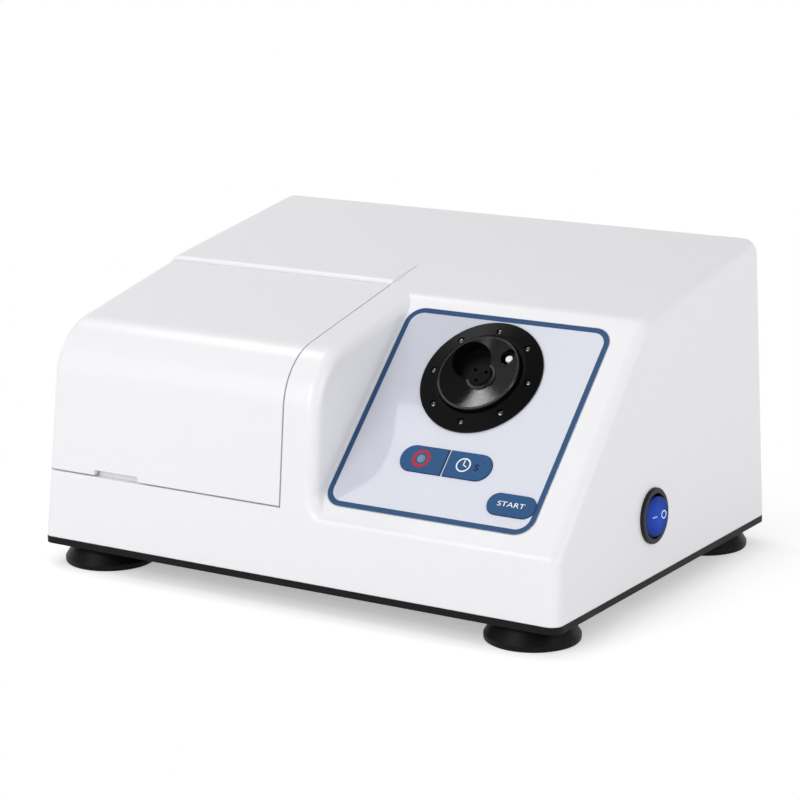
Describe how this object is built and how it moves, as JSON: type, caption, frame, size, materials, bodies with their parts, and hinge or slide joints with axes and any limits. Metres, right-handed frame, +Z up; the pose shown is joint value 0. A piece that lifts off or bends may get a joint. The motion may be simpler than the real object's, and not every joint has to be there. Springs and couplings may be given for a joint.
{
  "type": "dental amalgamator",
  "caption": "Wedge-shaped bench mixer for dental capsules: hinged chamber lid, sloping control panel with timer dial and keys, side power switch, skew-driven capsule arm and rubber feet.",
  "frame": {"origin": "on the bench under the middle of the base", "axes": "+X to the right of a user who faces the control panel, +Y towards the back, +Z up"},
  "size_m": [0.2522, 0.1936, 0.1351],
  "materials": {
    "shell_white": "moulded gloss",
    "base_black": "satin",
    "foot_rubber": "moulded",
    "label_film": "printed polyester film",
    "key_blue": "semi gloss",
    "dial_black": "polished",
    "pointer_white": "gloss",
    "rocker_blue": "translucent gloss",
    "switch_black": "satin",
    "tray_grey": "satin",
    "bright_steel": "ground",
    "zinc_steel": "zinc plated",
    "spring_steel": "polished spring steel",
    "cast_aluminium": "cast",
    "motor_paint": "painted",
    "core_steel": "laminated",
    "copper_wire": "enamelled wire",
    "brass_parts": "turned",
    "circuit_board": "solder mask",
    "fan_plastic": "moulded"
  },
  "bodies": {
    "case": {"base_plate": "base_black", "base_screws": "zinc_steel", "bezel_screws": "bright_steel", "board_parts": "switch_black", "board_standoffs": "brass_parts", "catch_plate": "zinc_steel", "chamber_tray": "tray_grey", "control_board": "circuit_board", "feet": "foot_rubber", "foot_screws": "zinc_steel", "fuse_cap": "switch_black", "fuse_holder": "switch_black", "hinge_pins": "bright_steel", "housing": "shell_white", "inlet_pins": "brass_parts", "inlet_screws": "zinc_steel", "key_board": "circuit_board", "key_switches": "switch_black", "lid_interlock": "switch_black", "machine_screws": "zinc_steel", "motor_bearings": "bright_steel", "motor_bracket": "zinc_steel", "motor_can": "motor_paint", "motor_end_bells": "cast_aluminium", "motor_mounts": "foot_rubber", "motor_straps": "zinc_steel", "panel_label": "label_film", "power_inlet": "switch_black", "power_switch_body": "switch_black", "power_switch_nut": "switch_black", "restraint_spring": "spring_steel", "stator_core": "core_steel", "stator_windings": "copper_wire", "timer_bezel": "dial_black", "timer_encoder": "zinc_steel", "transformer_coil": "copper_wire", "transformer_core": "core_steel"},
    "lid": {"lid": "shell_white", "lid_magnet": "bright_steel"},
    "timer_dial": {"timer_knob": "dial_black", "knob_pointer": "pointer_white", "timer_shaft": "brass_parts"},
    "stop_button": {"stop_key": "key_blue"},
    "time_button": {"time_key": "key_blue"},
    "start_button": {"start_key": "key_blue"},
    "rocker": {"power_rocker": "rocker_blue"},
    "rotor": {"motor_shaft": "bright_steel", "rotor_core": "core_steel", "skew_journal": "bright_steel", "journal_nut": "zinc_steel", "journal_bearing_inner": "bright_steel", "cooling_fan": "fan_plastic"},
    "arm": {"mixing_arm": "cast_aluminium", "fixed_jaw": "spring_steel", "jaw_screws": "bright_steel", "jaw_pin": "bright_steel", "jaw_spring": "spring_steel", "journal_bearing_outer": "bright_steel"},
    "jaw": {"moving_jaw": "spring_steel"}
  },
  "joints": [
    {"name": "lid_hinge", "type": "hinge", "parent": "case", "child": "lid", "pos_m": [-0.063, 0.003, 0.11385], "axis": [-1, 0, 0], "range_deg": [0, 100]},
    {"name": "timer_turn", "type": "hinge", "parent": "case", "child": "timer_dial", "pos_m": [0.0594, -0.0397, 0.09179], "axis": [0, 0.7046, -0.7096], "range_deg": [-195, 105]},
    {"name": "stop_press", "type": "slide", "parent": "case", "child": "stop_button", "axis": [0, 0.7046, -0.7096], "range_m": [0, 0.0005], "stiffness_N_per_m": 400, "springref_m": -0.0005},
    {"name": "time_press", "type": "slide", "parent": "case", "child": "time_button", "axis": [0, 0.7046, -0.7096], "range_m": [0, 0.0005], "stiffness_N_per_m": 400, "springref_m": -0.0005},
    {"name": "start_press", "type": "slide", "parent": "case", "child": "start_button", "axis": [0, 0.7046, -0.7096], "range_m": [0, 0.0005], "stiffness_N_per_m": 400, "springref_m": -0.0005},
    {"name": "power_tilt", "type": "hinge", "parent": "case", "child": "rocker", "pos_m": [0.12252, -0.0134, 0.03734], "axis": [-0.0393, 0, 0.9992], "range_deg": [0, 20]},
    {"name": "motor_spin", "type": "hinge", "parent": "case", "child": "rotor", "pos_m": [-0.062, 0.034, 0.062], "axis": [1, 0, 0], "continuous": true},
    {"name": "arm_swing", "type": "hinge", "parent": "rotor", "child": "arm", "pos_m": [-0.062, 0.034, 0.062], "axis": [0.9925, 0, -0.1219], "continuous": true, "deforming": ["restraint_spring"]},
    {"name": "jaw_open", "type": "hinge", "parent": "arm", "child": "jaw", "pos_m": [-0.04403, -0.0315, 0.05979], "axis": [0.1219, 0, 0.9925], "range_deg": [0, 12], "stiffness_Nm_per_rad": 0.6, "springref_deg": -8.59}
  ],
  "couplings": [
    {"joint": "arm_swing", "follows": "motor_spin", "ratio": -1}
  ]
}
